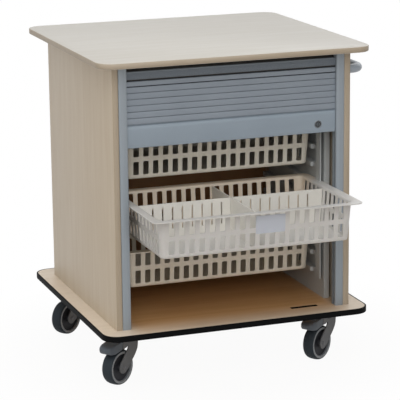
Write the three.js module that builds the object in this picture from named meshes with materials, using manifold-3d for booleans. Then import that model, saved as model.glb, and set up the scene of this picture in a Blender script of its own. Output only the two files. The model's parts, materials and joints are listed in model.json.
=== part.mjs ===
// Mobile tray storage unit: a wooden carcass on four castors, with a roller shutter,
// runner liners, three drawn baskets, basket dividers and a side push handle.
// Millimetres, +Z up, front towards -Y, origin on the floor under the middle of the whole box.

import * as THREE from 'three';
import { mergeVertices } from 'three/addons/utils/BufferGeometryUtils.js';
import Module from 'manifold-3d';

const wasm = await Module();
wasm.setup();

// Clearances
const fitGap = 0.3;
const grooveGap = 0.6;
const slatEndGap = 1;
const lapGap = 0.6;
const forkGap = 1.5;
const traySideGap = 3;
const trayBelowRail = 4;
const weldDistance = 1e-4;

// Baskets
const trayWidth = 600;
const trayDepth = 400;
const trayHeight = 108;
const trayCount = 3;
const trayFlange = 23;
const trayTaper = 8;
const trayWall = 2.6;
const trayFloor = 3;
const trayCorner = 16;
const trayCornerGrowth = 2;
const trayRimCorner = 20;
const flangeThickness = 3;
const slotPitch = 28.5;
const slotWidth = 16;
const slotFromBottom = 11;
const slotRowGap = 13;
const slotRows = 2;
const slotBelowRim = 8;
const traySetback = 92;
const traySpacing = 46.5;
const lowestTray = 81;
const middleDrawn = 289;

// Basket dividers
const dividerThickness = 3;
const dividerBelowRim = 6;
const crossBehindMiddle = 24;
const slitWidth = 1.8;
const slitFromTop = 10;
const slitHeight = 62;

// Carcass
const panelThickness = 18;
const panelEdgeRound = 3;
const boardThickness = 16;
const overhangSide = 46;
const overhangFront = 53;
const overhangBack = 71;
const boardCornerRadius = 45;
const boardEdgeBevel = 1.5;
const edgeBandThickness = 4;
const backThickness = 12;
const innerBackThickness = 6;
const innerBackBelowBend = 25;
const rearSpace = 128;

// Front posts and the shutter's path
const postWidth = 24;
const postDepth = 30;
const postRound = 2.5;
const grooveDepth = 9;
const slatThickness = 8;
const slatSetback = 10;
const bendRadius = 35;
const trackCover = 4;
const trackDrop = 120;
const trackWall = 5;

// Roller shutter
const slatsShown = 7;
const slatsAbove = 163;
const slatJoint = 0.4;
const slatChamfer = 1.4;
const hingeWeb = 2;
const hingeNotch = 1.2;
const railHeight = 63;
const railPad = 2.5;
const railPadStep = 6;
const railPadRound = 1.5;

// Shutter lock
const lockFromPost = 52;
const lockAboveRail = 24;
const lockBore = 20;
const lockCap = 22;
const lockCapThickness = 1.2;
const keySlotLength = 10;
const keySlotWidth = 2.2;
const keySlotDepth = 4;
const camLength = 46;
const camWidth = 12;
const camThickness = 3;
const strikeLength = 80;
const strikeWidth = 14;

// Runner liners
const linerThickness = 3;
const linerLead = 12;
const linerTail = 8;
const linerBelowTrack = 41;
const linerReturn = 16;
const linerPlainFoot = 60;
const runnerReach = 13;
const runnerHeight = 16;
const runnerDraft = 4;
const runnerInset = 25;
const runnersPerLevel = 3;
const runnersOverTop = 2;

// Push handle
const handleTube = 25;
const handleReach = 52;
const handleBend = 38;
const handleFromFront = 40;
const handleFromBack = 80;
const handleBelowTop = 59;
const flangeDiameter = 46;
const flangeDepth = 6;

// Castors
const castorFromSide = 92;
const castorFromEnd = 120;
const castorTrail = 38;
const castorSwivel = THREE.MathUtils.degToRad(33);
const wheelDiameter = 100;
const tyreWidth = 34;
const tyreThickness = 4.7;
const tyreRound = 3;
const rimRing = 6;
const rimRecess = 8;
const hubBoss = 20;
const axleDiameter = 8;
const axleHead = 14;
const axleHeadThickness = 3.5;
const forkPlate = 4;
const forkBoss = 24;
const legWaist = 6;
const legRootBehind = 9;
const legMeetsBoss = THREE.MathUtils.degToRad(57);
const legLeavesBoss = THREE.MathUtils.degToRad(135);
const crownDiameter = 54;
const crownGap = 7;
const crownHeight = 19;
const neckDiameter = 42;
const neckSlope = 8;
const neckHeight = 10.7;
const plateSize = 84;
const plateThickness = 5;
const plateCorner = 10;
const pedalBarrel = 12;
const pedalAboveWheel = 18;
const pedalReach = 63;
const pedalShoeFrom = 10;
const pedalTop = 7;
const pedalNose = 8;
const pedalNoseLength = 13;
const pedalHeel = 12;
const pedalSole = 21;
const pedalTailRadius = 16;

// Round stretches
const boardSteps = 3;
const trayCornerSteps = 2;
const smallSteps = 1;
const legSteps = 2;
const wheelSides = 16;
const turnedSides = 12;
const pinSides = 8;
const bendSteps = 6;
const tubeSides = 4;
const tubeSteps = 22;
const cutReach = 20;

// Levels and lines that several pieces share
const crownLevel = wheelDiameter + crownGap;
const neckLevel = crownLevel + crownHeight;
const crownTop = neckLevel + neckSlope + neckHeight;
const castorHeight = crownTop + fitGap + plateThickness;
const baseTop = castorHeight + boardThickness;
const trayLevels = trayHeight + traySpacing;
const upperRim = baseTop + lowestTray + (trayCount - 1) * trayLevels + trayHeight;
const railLevel = upperRim + trayBelowRail;
const railTop = railLevel + railHeight;
const topUnderside = railTop + slatsAbove;
const panelHeight = topUnderside - baseTop;
const openingHalf = trayWidth / 2 + traySideGap;
const insideHalf = openingHalf + postWidth;
const bodyWidth = 2 * (insideHalf + panelThickness);
const bodyDepth = traySetback + trayDepth + rearSpace;
const boardWidth = bodyWidth + 2 * overhangSide;
const boardDepth = overhangFront + bodyDepth + overhangBack;
const boardMiddle = bodyDepth / 2 + (overhangBack - overhangFront) / 2;
const slatHalf = openingHalf + grooveDepth - slatEndGap;
const slatMiddle = slatSetback + slatThickness / 2;
const slatBack = slatSetback + slatThickness;
const runLevel = topUnderside - trackCover - slatThickness / 2;
const runUnder = runLevel - slatThickness / 2 - trackWall;
const bendStart = runLevel - bendRadius;
const rearMiddle = bodyDepth - backThickness - trackWall - slatThickness / 2 - grooveGap;
const rearFront = rearMiddle - slatThickness / 2 - trackWall;
const slatPitch = (bendStart - railTop - slatJoint) / slatsShown;
const slatsStored = Math.ceil((panelHeight - railHeight) / slatPitch) - slatsShown;
const lockAcross = openingHalf - lockFromPost;
const lockLevel = railLevel + lockAboveRail;
const flangeLevel = trayHeight - flangeThickness;
const slotSpace = trayHeight - slotBelowRim - slotFromBottom;
const slotHeight = (slotSpace - (slotRows - 1) * slotRowGap) / slotRows;
const linerTop = runUnder - linerBelowTrack;
const runnerStep = trayLevels / runnersPerLevel;
const wheelRadius = wheelDiameter / 2;
const forkHalf = tyreWidth / 2 + forkGap;
const handleLevel = topUnderside - handleBelowTop;

// Finishes
const finish = (color, roughness, metalness = 0) =>
  new THREE.MeshStandardMaterial({ color, roughness, metalness });
const maple = finish(0xcfc2ac, 0.55);
const mapleEdge = finish(0xb59b78, 0.5);
const blackBand = finish(0x121416, 0.6);
const silverMetal = finish(0x8c939b, 0.4, 0.7);
const shutterGrey = finish(0x808890, 0.5);
const linerGrey = finish(0x77777a, 0.6);
const basketCream = finish(0xd2ccbe, 0.45);
const lockMetal = finish(0x4a4e52, 0.35, 0.9);
const handleGrey = finish(0x84898f, 0.45);
const castorGrey = finish(0x5f6164, 0.5);
const tyreBlack = finish(0x2a3036, 0.8);
const rimGrey = finish(0x6c6f72, 0.55);
const steel = finish(0xa5a8ab, 0.35, 0.9);

// Solids from geometry, and back
function solid(geometry) {
  const bare = geometry.clone();
  bare.deleteAttribute('normal');
  bare.deleteAttribute('uv');
  const merged = mergeVertices(bare, weldDistance);
  return new wasm.Manifold(new wasm.Mesh({
    numProp: 3,
    vertProperties: new Float32Array(merged.attributes.position.array),
    triVerts: new Uint32Array(merged.index.array),
  }));
}

function surface(body) {
  const mesh = body.getMesh();
  const geometry = new THREE.BufferGeometry();
  geometry.setAttribute('position', new THREE.BufferAttribute(new Float32Array(mesh.vertProperties), 3));
  geometry.setIndex(new THREE.BufferAttribute(new Uint32Array(mesh.triVerts), 1));
  geometry.computeVertexNormals();
  return geometry;
}

function piece(name, geometry, material) {
  const mesh = new THREE.Mesh(geometry, material);
  mesh.name = name;
  return mesh;
}

function block(x0, x1, y0, y1, z0, z1) {
  const geometry = new THREE.BoxGeometry(x1 - x0, y1 - y0, z1 - z0);
  return geometry.translate((x0 + x1) / 2, (y0 + y1) / 2, (z0 + z1) / 2);
}

// A closed outline from a few points
const outline = (points) => new THREE.Shape(points.map(([a, b]) => new THREE.Vector2(a, b)));

// Prisms along each axis: the outline is drawn in the other two, in the order named
const alongZ = (shape, z0, z1, steps = smallSteps, bevel = 0) => new THREE.ExtrudeGeometry(shape, {
  depth: z1 - z0 - 2 * bevel,
  curveSegments: steps,
  bevelEnabled: bevel > 0,
  bevelThickness: bevel,
  bevelSize: bevel,
  bevelOffset: -bevel,
  bevelSegments: 1,
}).translate(0, 0, z0 + bevel);

const xAxis = new THREE.Vector3(1, 0, 0);
const yAxis = new THREE.Vector3(0, 1, 0);
const zAxis = new THREE.Vector3(0, 0, 1);

// An outline in Y and Z, drawn out along X
function alongX(shape, x0, x1, steps = smallSteps) {
  return alongZ(shape, x0, x1, steps).applyMatrix4(new THREE.Matrix4().makeBasis(yAxis, zAxis, xAxis));
}

// An outline in X and Z, drawn out along Y
function alongY(shape, y0, y1, steps = smallSteps) {
  const turned = new THREE.Matrix4().makeBasis(xAxis, zAxis, yAxis.clone().negate());
  return alongZ(shape, -y1, -y0, steps).applyMatrix4(turned);
}

// A closed profile of radius and Y turned about the Y axis
function turnedAboutY(profile, sides) {
  const closed = [...profile, profile[0]];
  return new THREE.LatheGeometry(closed.map(([r, y]) => new THREE.Vector2(r, y)), sides);
}

// The same profile turned about the Z axis
const turnedAboutZ = (profile, sides) => turnedAboutY(profile, sides).rotateX(Math.PI / 2);

// The same profile turned about the X axis, from x = 0 outwards
const turnedAboutX = (profile, sides) => turnedAboutY(profile, sides).rotateZ(-Math.PI / 2);

function rounded(width, depth, radius, x = 0, y = 0) {
  const [w, d] = [width / 2, depth / 2];
  const shape = new THREE.Shape();
  shape.absarc(x + w - radius, y - d + radius, radius, -Math.PI / 2, 0);
  shape.absarc(x + w - radius, y + d - radius, radius, 0, Math.PI / 2);
  shape.absarc(x - w + radius, y + d - radius, radius, Math.PI / 2, Math.PI);
  shape.absarc(x - w + radius, y - d + radius, radius, Math.PI, 1.5 * Math.PI);
  return shape;
}

// A tapering solid between two rounded rectangles
function taperedBlock(lower, upper, z0, z1) {
  const ring = ({ width, depth, radius }) =>
    rounded(width, depth, radius).extractPoints(trayCornerSteps).shape.filter((p, i, all) =>
      p.distanceTo(all[(i + 1) % all.length]) > weldDistance);
  const [low, high] = [ring(lower), ring(upper)];
  const count = low.length;
  const vertices = [...low.flatMap((p) => [p.x, p.y, z0]), ...high.flatMap((p) => [p.x, p.y, z1])];
  const faces = [];
  for (let i = 0; i < count; i += 1) {
    const next = (i + 1) % count;
    faces.push(i, next, count + next, i, count + next, count + i);
  }
  for (let i = 1; i < count - 1; i += 1) {
    faces.push(0, i + 1, i, count, count + i, count + i + 1);
  }
  const geometry = new THREE.BufferGeometry();
  geometry.setAttribute('position', new THREE.Float32BufferAttribute(vertices, 3));
  geometry.setIndex(faces);
  return geometry;
}

// Carcass boards and panels
function carcass() {
  const group = new THREE.Group();
  const footprint = rounded(boardWidth, boardDepth, boardCornerRadius, 0, boardMiddle);
  group.add(piece('top_board', alongZ(footprint, topUnderside, topUnderside + boardThickness,
    boardSteps, boardEdgeBevel), maple));

  const inset = edgeBandThickness + fitGap;
  const boardOutline = rounded(boardWidth - 2 * inset, boardDepth - 2 * inset,
    boardCornerRadius - inset, 0, boardMiddle);
  const strikeEnd = lockAcross + camWidth / 2 + lapGap;
  const strike = block(strikeEnd - strikeLength, strikeEnd, slatBack, slatBack + strikeWidth,
    castorHeight - cutReach, baseTop + cutReach);
  const base = solid(alongZ(boardOutline, castorHeight, baseTop, boardSteps)).subtract(solid(strike));
  group.add(piece('base_board', surface(base), maple));

  const band = rounded(boardWidth, boardDepth, boardCornerRadius, 0, boardMiddle);
  band.holes.push(rounded(boardWidth - 2 * edgeBandThickness, boardDepth - 2 * edgeBandThickness,
    boardCornerRadius - edgeBandThickness, 0, boardMiddle));
  group.add(piece('base_edge_band', alongZ(band, castorHeight, baseTop, boardSteps), blackBand));

  for (const [name, side] of [['left', -1], ['right', 1]]) {
    const middle = side * (insideHalf + panelThickness / 2);
    const panel = rounded(panelThickness, bodyDepth, panelEdgeRound, middle, bodyDepth / 2);
    group.add(piece(`${name}_panel`, alongZ(panel, baseTop, topUnderside), mapleEdge));
  }
  const backFace = bodyDepth - panelEdgeRound;
  group.add(piece('back_panel', block(-insideHalf, insideHalf, backFace - backThickness, backFace,
    baseTop, topUnderside), maple));
  group.add(piece('inner_back', block(-insideHalf, insideHalf, rearFront - innerBackThickness, rearFront,
    baseTop, bendStart - innerBackBelowBend), maple));
  return group;
}

// The shutter's path in Y and Z: up behind the posts, back under the top, down behind the inner back.
// A place on it is a distance along it, from the base up, and a distance to its outer side.
const climb = bendStart - baseTop;
const quarter = bendRadius * Math.PI / 2;
const run = rearMiddle - slatMiddle - 2 * bendRadius;

function onPath(along, outward) {
  if (along <= climb) {
    return [slatMiddle - outward, baseTop + along];
  }
  const turned = (along - climb) / bendRadius;
  if (along <= climb + quarter) {
    const reach = bendRadius + outward;
    return [slatMiddle + bendRadius - reach * Math.cos(turned), bendStart + reach * Math.sin(turned)];
  }
  const back = along - climb - quarter;
  if (back <= run) {
    return [slatMiddle + bendRadius + back, runLevel + outward];
  }
  const down = Math.min((back - run) / bendRadius, Math.PI / 2);
  const reach = bendRadius + outward;
  const rest = Math.max(back - run - quarter, 0);
  return [rearMiddle - bendRadius + reach * Math.sin(down), bendStart + reach * Math.cos(down) - rest];
}

// Places along the two bends
const bendPlaces = [climb, climb + quarter + run].flatMap((from) =>
  Array.from({ length: bendSteps + 1 }, (_, i) => from + quarter * i / bendSteps));

// The band of the groove that the slat ends run in, cut from the posts and tracks
function grooveBand() {
  const places = [-cutReach, ...bendPlaces, climb + run + 2 * quarter + trackDrop + cutReach];
  const half = slatThickness / 2 + grooveGap;
  return outline([
    ...places.map((s) => onPath(s, half)),
    ...places.map((s) => onPath(s, -half)).reverse(),
  ]);
}

// Posts with their groove, and the tracks that carry the slats on under the top
function shutterGuides() {
  const group = new THREE.Group();
  const groove = grooveBand();
  const trackBack = bodyDepth - backThickness - panelEdgeRound;
  const trackOutline = outline([
    [postDepth, bendStart - 2 * trackWall], [postDepth + bendRadius, runUnder],
    [rearFront - bendRadius, runUnder], [rearFront, bendStart], [rearFront, bendStart - trackDrop],
    [trackBack, bendStart - trackDrop], [trackBack, topUnderside], [postDepth, topUnderside],
  ]);
  for (const [name, side] of [['left', -1], ['right', 1]]) {
    const inner = side * openingHalf;
    const outer = side * insideHalf;
    const [x0, x1] = [Math.min(inner, outer), Math.max(inner, outer)];
    const cutFrom = side < 0 ? inner - grooveDepth : inner - cutReach;
    const cut = solid(alongX(groove, cutFrom, cutFrom + grooveDepth + cutReach));
    const section = rounded(postWidth, postDepth, postRound, (x0 + x1) / 2, postDepth / 2);
    const post = solid(alongZ(section, baseTop, topUnderside)).subtract(cut);
    group.add(piece(`${name}_post`, surface(post), silverMetal));
    const track = solid(alongX(trackOutline, x0, x1)).subtract(cut);
    group.add(piece(`${name}_shutter_track`, surface(track), linerGrey));
  }
  return group;
}

// Bottom rail, straight slats and lock, which slide together
function shutter() {
  const group = new THREE.Group();
  const core = solid(block(-slatHalf, slatHalf, slatSetback, slatBack, railLevel, railTop));
  const padFront = slatSetback - railPad;
  const padTop = railTop - railPadStep;
  const padOutline = outline([
    [slatSetback + railPadRound, railLevel], [padFront + railPadRound, railLevel],
    [padFront, railLevel + railPadRound], [padFront, padTop - railPadRound],
    [padFront + railPadRound, padTop], [slatSetback + railPadRound, padTop],
  ]);
  const padHalf = openingHalf - postRound / 2;
  const lockSeat = turnedAboutY([[0, padFront - cutReach], [lockBore / 2, padFront - cutReach],
    [lockBore / 2, slatBack + cutReach], [0, slatBack + cutReach]], turnedSides)
    .translate(lockAcross, 0, lockLevel);
  const rail = core.add(solid(alongX(padOutline, -padHalf, padHalf))).subtract(solid(lockSeat));
  group.add(piece('shutter_rail', surface(rail), shutterGrey));

  for (let i = 0; i < slatsShown; i += 1) {
    const low = railTop + i * slatPitch + slatJoint;
    const high = railTop + (i + 1) * slatPitch;
    const section = outline([
      [slatBack, low], [slatBack, high], [slatSetback + slatChamfer, high],
      [slatSetback, high - slatChamfer], [slatSetback, low + slatChamfer], [slatSetback + slatChamfer, low],
    ]);
    group.add(piece(`shutter_slat_${i + 1}`, alongX(section, -slatHalf, slatHalf), shutterGrey));
  }

  const capFront = padFront - fitGap - lockCapThickness;
  const barrel = lockBore / 2 * Math.cos(Math.PI / turnedSides) - fitGap;
  const camFront = slatBack + fitGap;
  const camBack = camFront + camThickness;
  const turned = solid(turnedAboutY([[0, capFront], [lockCap / 2, capFront],
    [lockCap / 2, capFront + lockCapThickness], [barrel, capFront + lockCapThickness],
    [barrel, camBack], [0, camBack]], turnedSides));
  const cam = solid(block(-camLength, camWidth / 2, camFront, camBack, -camWidth / 2, camWidth / 2));
  const keySlot = solid(block(-keySlotWidth / 2, keySlotWidth / 2, capFront - cutReach,
    capFront + keySlotDepth, -keySlotLength / 2, keySlotLength / 2));
  const lock = piece('lock_barrel', surface(turned.add(cam).subtract(keySlot)), lockMetal);
  lock.position.set(lockAcross, 0, lockLevel);
  group.add(lock);
  return group;
}

// The slats that are put away in the bend and under the top, joined by their hinge webs
function storedCurtain() {
  const outer = slatThickness / 2;
  const web = hingeWeb - outer;
  const first = railTop - baseTop + slatsShown * slatPitch;
  const start = first + slatJoint;
  const end = first + slatsStored * slatPitch - hingeNotch;
  const outside = [];
  for (let i = 0; i < slatsStored; i += 1) {
    const low = first + i * slatPitch + slatJoint;
    const high = first + (i + 1) * slatPitch;
    const crest = low < climb + quarter ? [onPath((low + high) / 2, outer)] : [];
    outside.push(onPath(low, outer), ...crest, onPath(high - hingeNotch, outer));
    if (i < slatsStored - 1) {
      outside.push(onPath(high - hingeNotch / 2, web));
    }
  }
  const turns = bendPlaces.filter((s) => s > start + hingeNotch && s < end - hingeNotch);
  const inside = [start, ...turns, end].map((s) => onPath(s, -outer));
  return piece('stored_slat_curtain',
    alongX(outline([...outside, ...inside.reverse()]), -slatHalf, slatHalf), shutterGrey);
}

// One perforated basket, its middle at x = 0 and y = 0 and its underside at z = 0
const trayTop = { width: trayWidth - 2 * trayFlange, depth: trayDepth - 2 * trayFlange };
const trayFoot = { width: trayTop.width - 2 * trayTaper, depth: trayTop.depth - 2 * trayTaper };
const slotsAlong = (edge) => 1 + Math.floor((edge - 2 * trayCorner - slotWidth) / slotPitch);
const frontSlots = slotsAlong(trayFoot.width);
const sideSlots = slotsAlong(trayFoot.depth);

function basketSolid() {
  const size = ({ width, depth }, radius, inset) =>
    ({ width: width - 2 * inset, depth: depth - 2 * inset, radius: radius - inset });
  const topCorner = trayCorner + trayCornerGrowth;
  const outside = solid(taperedBlock(size(trayFoot, trayCorner, 0), size(trayTop, topCorner, 0),
    0, trayHeight));
  const flange = solid(alongZ(rounded(trayWidth, trayDepth, trayRimCorner),
    flangeLevel, trayHeight, trayCornerSteps));

  // The hollow keeps the walls' taper from the floor to above the rim
  const rise = trayTaper / trayHeight;
  const hollowTop = trayHeight + cutReach;
  const grown = (edge, z) => edge + 2 * rise * z;
  const at = (z) => size({ width: grown(trayFoot.width, z), depth: grown(trayFoot.depth, z) },
    trayCorner + trayCornerGrowth * z / trayHeight, trayWall);
  const hollow = solid(taperedBlock(at(trayFloor), at(hollowTop), trayFloor, hollowTop));

  let body = outside.add(flange).subtract(hollow);
  for (let row = 0; row < slotRows; row += 1) {
    const low = slotFromBottom + row * (slotHeight + slotRowGap);
    for (let i = 0; i < frontSlots; i += 1) {
      const x = (i - (frontSlots - 1) / 2) * slotPitch;
      body = body.subtract(solid(block(x - slotWidth / 2, x + slotWidth / 2,
        -trayDepth, trayDepth, low, low + slotHeight)));
    }
    for (let i = 0; i < sideSlots; i += 1) {
      const y = (i - (sideSlots - 1) / 2) * slotPitch;
      body = body.subtract(solid(block(-trayWidth, trayWidth,
        y - slotWidth / 2, y + slotWidth / 2, low, low + slotHeight)));
    }
  }
  return surface(body);
}

// Dividers that stand on the basket's floor and lap over each other half way
function dividers() {
  const group = new THREE.Group();
  const low = trayFloor + fitGap;
  const high = trayHeight - dividerBelowRim;
  const lap = (low + high) / 2;
  const half = (foot, z) => foot / 2 + trayTaper * z / trayHeight - trayWall - fitGap;
  const side = (foot) => outline([
    [-half(foot, low), low], [half(foot, low), low],
    [half(foot, high), high], [-half(foot, high), high],
  ]);
  const notch = dividerThickness / 2 + lapGap;
  const thin = dividerThickness / 2;
  const [front, back] = [crossBehindMiddle - thin, crossBehindMiddle + thin];
  const through = (x, width, z0, z1) => solid(block(x - width / 2, x + width / 2,
    front - cutReach, back + cutReach, z0, z1));
  let cross = solid(alongY(side(trayFoot.width), front, back));
  cross = cross.subtract(through(0, 2 * notch, lap - lapGap / 2, high + cutReach));
  const slits = frontSlots - 1;
  for (let i = 0; i < slits; i += 1) {
    const x = (i - (slits - 1) / 2) * slotPitch;
    if (Math.abs(x) > slotPitch / 2) {
      cross = cross.subtract(through(x, slitWidth, high - slitFromTop - slitHeight, high - slitFromTop));
    }
  }
  group.add(piece('cross_divider', surface(cross), basketCream));
  const long = solid(alongX(side(trayFoot.depth), -thin, thin)).subtract(solid(block(-notch, notch,
    crossBehindMiddle - notch, crossBehindMiddle + notch, low - cutReach, lap + lapGap / 2)));
  group.add(piece('long_divider', surface(long), basketCream));
  return group;
}

function baskets() {
  const group = new THREE.Group();
  const geometry = basketSolid();
  const levels = [['lower', 0, 0], ['middle', 1, middleDrawn], ['upper', 2, 0]];
  for (const [name, level, drawn] of levels) {
    const tray = new THREE.Group();
    tray.position.set(0, traySetback + trayDepth / 2 - drawn, baseTop + lowestTray + level * trayLevels);
    tray.add(piece(`${name}_basket`, geometry, basketCream));
    if (name === 'middle') {
      tray.add(dividers());
    }
    group.add(tray);
  }
  return group;
}

// Liners with the runners that the baskets' rims slide on
function liners() {
  const group = new THREE.Group();
  const face = openingHalf - fitGap;
  const foot = face + linerThickness;
  const [front, back] = [traySetback - linerLead, traySetback + trayDepth + linerTail];
  const section = outline([
    [face, front], [face + linerReturn, front], [face + linerReturn, front + linerThickness],
    [foot, front + linerThickness], [foot, back - linerThickness],
    [face + linerReturn, back - linerThickness], [face + linerReturn, back], [face, back],
  ]);
  let body = solid(alongZ(section, baseTop, linerTop));
  const tip = face - runnerReach;
  const seat = baseTop + lowestTray + flangeLevel - fitGap;
  const below = Math.floor((seat - runnerHeight - baseTop - linerPlainFoot) / runnerStep);
  const above = (trayCount - 1) * runnersPerLevel + runnersOverTop;
  for (let i = -below; i <= above; i += 1) {
    const level = seat + i * runnerStep;
    const runner = outline([
      [face + linerThickness / 2, level], [tip, level], [tip, level - runnerHeight + runnerDraft],
      [face + linerThickness / 2, level - runnerHeight],
    ].reverse());
    body = body.add(solid(alongY(runner, front + runnerInset, back - linerThickness)));
  }
  group.add(piece('right_liner', surface(body), linerGrey));
  group.add(piece('left_liner', surface(body.mirror([1, 0, 0])), linerGrey));
  return group;
}

// A bent tube on the right panel, and the two cups that it ends in
function pushHandle() {
  const group = new THREE.Group();
  const wall = bodyWidth / 2;
  const start = wall + flangeDepth;
  const out = wall + handleReach;
  const [front, back] = [handleFromFront, bodyDepth - handleFromBack];
  const at = (x, y) => new THREE.Vector3(x, y, handleLevel);
  const path = new THREE.CurvePath();
  const bend = (from, corner, to) => new THREE.QuadraticBezierCurve3(from, corner, to);
  const line = (from, to) => new THREE.LineCurve3(from, to);
  path.add(line(at(start, front), at(out - handleBend, front)));
  path.add(bend(at(out - handleBend, front), at(out, front), at(out, front + handleBend)));
  path.add(line(at(out, front + handleBend), at(out, back - handleBend)));
  path.add(bend(at(out, back - handleBend), at(out, back), at(out - handleBend, back)));
  path.add(line(at(out - handleBend, back), at(start, back)));
  const ring = new THREE.Shape().absarc(0, 0, handleTube / 2, 0, 2 * Math.PI);
  const tube = new THREE.ExtrudeGeometry(ring, {
    steps: tubeSteps,
    curveSegments: tubeSides,
    extrudePath: path,
  });
  group.add(piece('push_handle', tube, handleGrey));
  const cup = [[0, 0], [flangeDiameter / 2, 0], [flangeDiameter / 2, flangeDepth / 2],
    [handleTube / 2 + panelEdgeRound, flangeDepth - fitGap], [0, flangeDepth - fitGap]];
  for (const [name, y] of [['front', front], ['rear', back]]) {
    const flange = piece(`handle_${name}_flange`, turnedAboutX(cup, pinSides), handleGrey);
    flange.position.set(wall, y, handleLevel);
    group.add(flange);
  }
  return group;
}

// Castor parts are drawn about the swivel axis, with the wheel trailing towards -X
const pedalAxis = { x: -crownDiameter / 2 - fitGap - pedalBarrel / 2, z: wheelDiameter + pedalAboveWheel };

function forkSolid(braked) {
  const radius = crownDiameter / 2;
  const boss = forkBoss / 2;
  const rear = braked ? pedalAxis.x - pedalBarrel / 2 : -radius + forkPlate;
  const meet = [-castorTrail + boss * Math.cos(legMeetsBoss), wheelRadius - boss * Math.sin(legMeetsBoss)];
  const leg = new THREE.Shape();
  leg.moveTo(radius, neckLevel);
  leg.lineTo(radius, crownLevel);
  leg.quadraticCurveTo(radius - legWaist, wheelRadius + radius, ...meet);
  leg.absarc(-castorTrail, wheelRadius, boss, -legMeetsBoss, legLeavesBoss, true);
  leg.lineTo(-legRootBehind, crownLevel);
  leg.lineTo(rear, crownLevel);
  leg.lineTo(rear, neckLevel);
  const boreRadius = axleDiameter / 2 + fitGap;
  const boreEnd = forkHalf + cutReach;
  const bore = solid(turnedAboutY([[0, -boreEnd], [boreRadius, -boreEnd],
    [boreRadius, boreEnd], [0, boreEnd]], pinSides).translate(-castorTrail, 0, wheelRadius));
  const neck = neckDiameter / 2;
  const crown = solid(turnedAboutZ([[0, crownLevel], [radius, crownLevel], [radius, neckLevel],
    [neck, neckLevel + neckSlope], [neck, crownTop], [0, crownTop]], wheelSides));
  const near = solid(alongY(leg, -forkHalf - forkPlate, -forkHalf, legSteps));
  const far = solid(alongY(leg, forkHalf, forkHalf + forkPlate, legSteps));
  return surface(crown.add(near).add(far).subtract(bore));
}

// A barrel between the fork plates, and behind them a rounded shoe as wide as the fork
function pedalSolid() {
  const half = forkHalf - fitGap;
  const outer = forkHalf + forkPlate;
  const barrel = pedalBarrel / 2;
  const { x, z } = pedalAxis;
  const tail = x - pedalReach;
  const front = x - pedalShoeFrom;
  const pivot = turnedAboutY([[0, -half], [barrel, -half], [barrel, half], [0, half]], pinSides);
  const arm = block(front - barrel, x, -half, half, z - barrel, z + barrel);
  const section = new THREE.Shape();
  section.moveTo(front, z + pedalTop);
  section.quadraticCurveTo(tail, z + pedalTop, tail, z - pedalNose);
  section.quadraticCurveTo(tail, z - pedalSole, tail + pedalNoseLength, z - pedalSole);
  section.lineTo(front, z - pedalHeel);
  const plan = rounded(front - tail, 2 * outer, pedalTailRadius, (front + tail) / 2, 0);
  const [under, over] = [z - pedalSole - cutReach, z + pedalTop + cutReach];
  const trim = solid(alongZ(plan, under, over, trayCornerSteps));
  const square = solid(block((front + tail) / 2, front, -outer, outer, under, over));
  const shoe = solid(alongY(section, -outer, outer, trayCornerSteps)).intersect(trim.add(square));
  return surface(shoe.add(solid(arm)).add(solid(pivot.translate(x, 0, z))));
}

const rimRadius = wheelRadius - tyreThickness;
const hubProfile = [
  [axleDiameter / 2 + fitGap, -forkHalf + fitGap], [hubBoss / 2, -forkHalf + fitGap],
  [hubBoss / 2, -tyreWidth / 2 + rimRecess], [rimRadius - rimRing, -tyreWidth / 2 + rimRecess],
  [rimRadius - rimRing, -tyreWidth / 2], [rimRadius, -tyreWidth / 2],
  [rimRadius, tyreWidth / 2], [rimRadius - rimRing, tyreWidth / 2],
  [rimRadius - rimRing, tyreWidth / 2 - rimRecess], [hubBoss / 2, tyreWidth / 2 - rimRecess],
  [hubBoss / 2, forkHalf - fitGap], [axleDiameter / 2 + fitGap, forkHalf - fitGap],
];
const tyreProfile = [
  [rimRadius + fitGap, -tyreWidth / 2], [wheelRadius - tyreRound, -tyreWidth / 2],
  [wheelRadius, -tyreWidth / 2 + tyreRound], [wheelRadius, tyreWidth / 2 - tyreRound],
  [wheelRadius - tyreRound, tyreWidth / 2], [rimRadius + fitGap, tyreWidth / 2],
];
const headFrom = forkHalf + forkPlate + fitGap;
const headTo = headFrom + axleHeadThickness;
const axleProfile = [
  [0, -headTo], [axleHead / 2, -headTo], [axleHead / 2, -headFrom], [axleDiameter / 2, -headFrom],
  [axleDiameter / 2, headFrom], [axleHead / 2, headFrom], [axleHead / 2, headTo], [0, headTo],
];

function castor(name, x, y, braked) {
  const group = new THREE.Group();
  group.position.set(x, y, 0);
  const plate = rounded(plateSize, plateSize, plateCorner);
  group.add(piece(`${name}_castor_plate`, alongZ(plate, castorHeight - plateThickness, castorHeight), steel));
  const swivel = new THREE.Group();
  swivel.rotation.z = castorSwivel;
  swivel.add(piece(`${name}_castor_fork`, forkSolid(braked), castorGrey));
  if (braked) {
    swivel.add(piece(`${name}_brake_pedal`, pedalSolid(), castorGrey));
  }
  const wheel = new THREE.Group();
  wheel.position.set(-castorTrail, 0, wheelRadius);
  wheel.add(piece(`${name}_axle`, turnedAboutY(axleProfile, pinSides), steel));
  wheel.add(piece(`${name}_wheel_hub`, turnedAboutY(hubProfile, wheelSides), rimGrey));
  wheel.add(piece(`${name}_tyre`, turnedAboutY(tyreProfile, wheelSides), tyreBlack));
  swivel.add(wheel);
  group.add(swivel);
  return group;
}

function castors() {
  const group = new THREE.Group();
  const across = boardWidth / 2 - castorFromSide;
  const front = castorFromEnd - overhangFront;
  const rear = bodyDepth + overhangBack - castorFromEnd;
  group.add(castor('front_left', -across, front, true));
  group.add(castor('front_right', across, front, true));
  group.add(castor('rear_left', -across, rear, false));
  group.add(castor('rear_right', across, rear, false));
  return group;
}

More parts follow.
